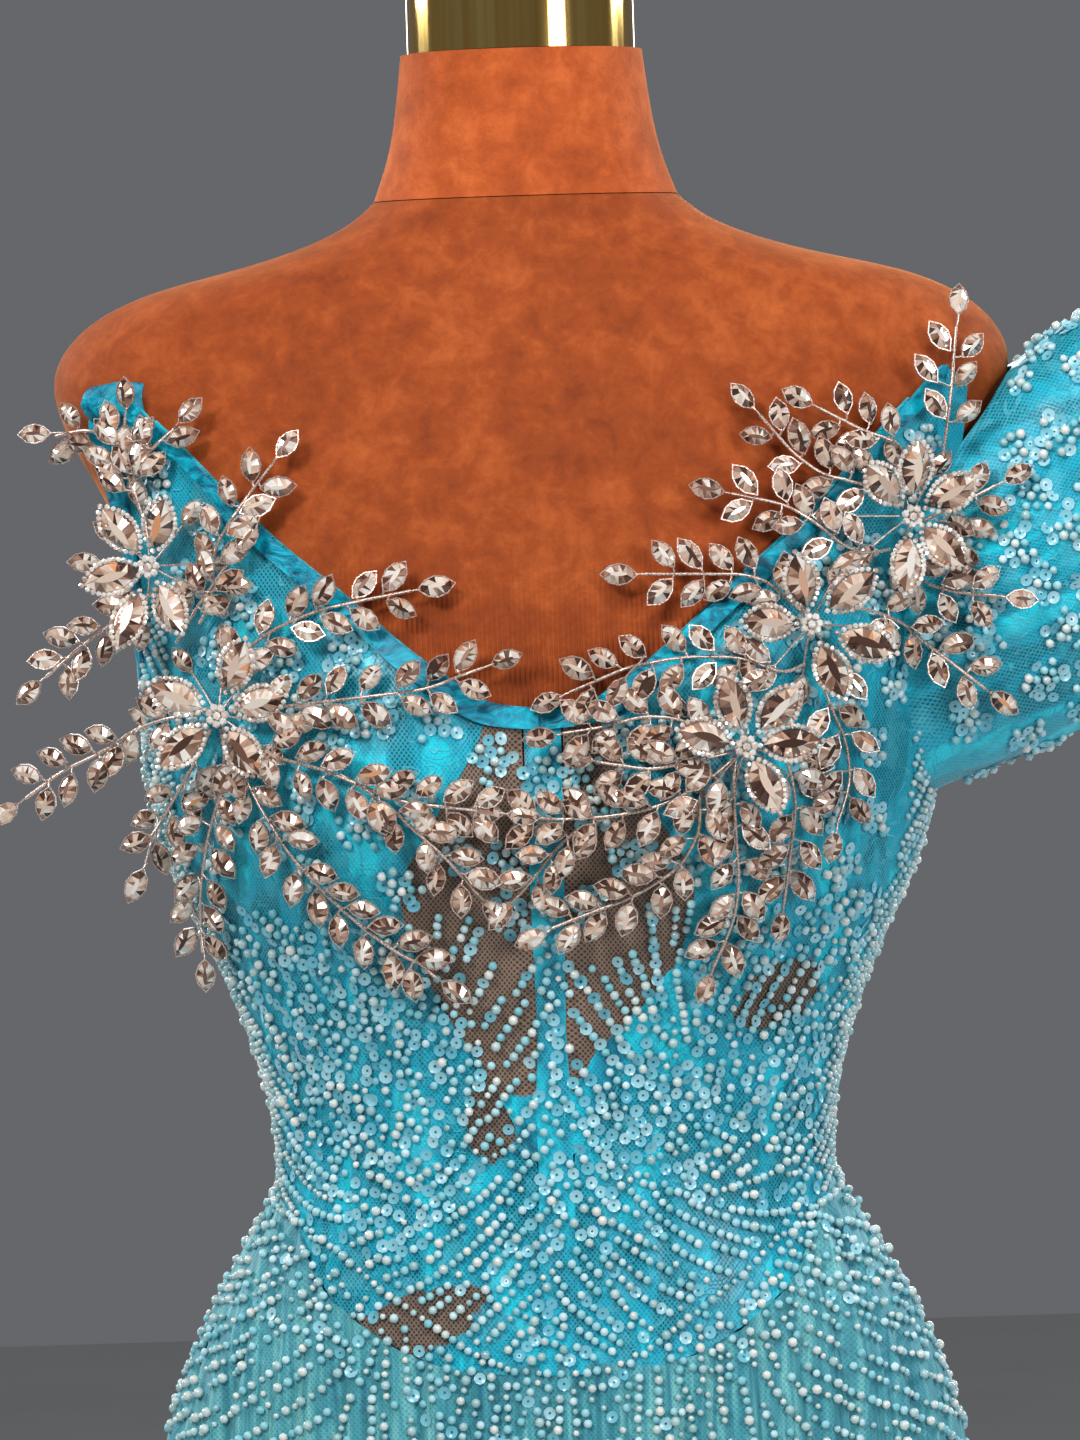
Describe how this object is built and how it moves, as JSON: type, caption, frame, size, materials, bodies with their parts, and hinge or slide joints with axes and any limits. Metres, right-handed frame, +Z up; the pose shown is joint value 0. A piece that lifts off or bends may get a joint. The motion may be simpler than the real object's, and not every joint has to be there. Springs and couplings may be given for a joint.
{
  "type": "mermaid prom dress on a limbless dress form",
  "caption": "Off-shoulder mermaid prom dress with one held-out sleeve, worn by a limbless dress form that stands on a pole and a round weighted base.",
  "frame": {"origin": "the middle of the flat underside of the base plate, on the floor", "axes": "+Z is up along the pole, the dress faces -Y, and +X points to the side of the sleeve"},
  "size_m": [0.9275, 0.9263, 1.5913],
  "materials": {
    "lace": "turquoise lace and fine tulle over bright satin, sewn with pearls, frosted beads and sequins",
    "binding_satin": "turquoise satin with a soft sheen",
    "nude_mesh": "see-through brown mesh",
    "skirt_tulle": "pale turquoise gathered tulle with strings of pearls",
    "crystal": "smoky rose-silver cut crystals in silver settings",
    "zip_metal": "small plated zip slider and pull tab",
    "suede": "rust-orange suede cloth with a mottled nap",
    "gold": "mirror-polished gold",
    "stand_steel": "satin black coated steel"
  },
  "bodies": {
    "root": {"back_binding_left": "binding_satin", "back_binding_right": "binding_satin", "back_gore_left": "skirt_tulle", "back_gore_right": "skirt_tulle", "branch_bust_right": "crystal", "branch_centre_left": "crystal", "branch_neck_left": "crystal", "branch_neck_right": "crystal", "branch_strap_right": "crystal", "branch_waist_left": "crystal", "branch_waist_right": "crystal", "centre_back_left": "lace", "centre_back_right": "lace", "centre_front_strip": "lace", "cup_left": "lace", "cup_right": "lace", "flare_panel_1": "skirt_tulle", "flare_panel_2": "skirt_tulle", "flare_panel_3": "skirt_tulle", "flare_panel_4": "skirt_tulle", "flare_panel_5": "skirt_tulle", "flare_panel_6": "skirt_tulle", "flare_panel_7": "skirt_tulle", "flare_panel_8": "skirt_tulle", "flower_bust_right": "crystal", "flower_chest_left": "crystal", "flower_chest_right": "crystal", "flower_shoulder_left": "crystal", "flower_shoulder_right": "crystal", "form_cap": "gold", "form_neck": "suede", "form_torso": "suede", "front_gore": "skirt_tulle", "lower_front_left": "lace", "lower_front_right": "lace", "mesh_inset_left": "nude_mesh", "mesh_inset_right": "nude_mesh", "neckline_binding_left": "binding_satin", "neckline_binding_right": "binding_satin", "side_back_left": "lace", "side_back_right": "lace", "side_front_left": "lace", "side_front_right": "lace", "side_gore_left": "skirt_tulle", "side_gore_right": "skirt_tulle", "sleeve": "lace", "sleeve_cuff": "binding_satin", "stand_base": "stand_steel", "stand_pole": "stand_steel", "strap_knot": "binding_satin", "zip_slider": "zip_metal", "zip_tape": "binding_satin"},
    "pull_tab": {"zip_pull_tab": "zip_metal"}
  },
  "joints": [
    {"name": "pull_tab_swing", "type": "hinge", "parent": "root", "child": "pull_tab", "pos_m": [0, 0.11822, 1.24], "axis": [1, 0, 0], "range_deg": [0, 150]}
  ]
}
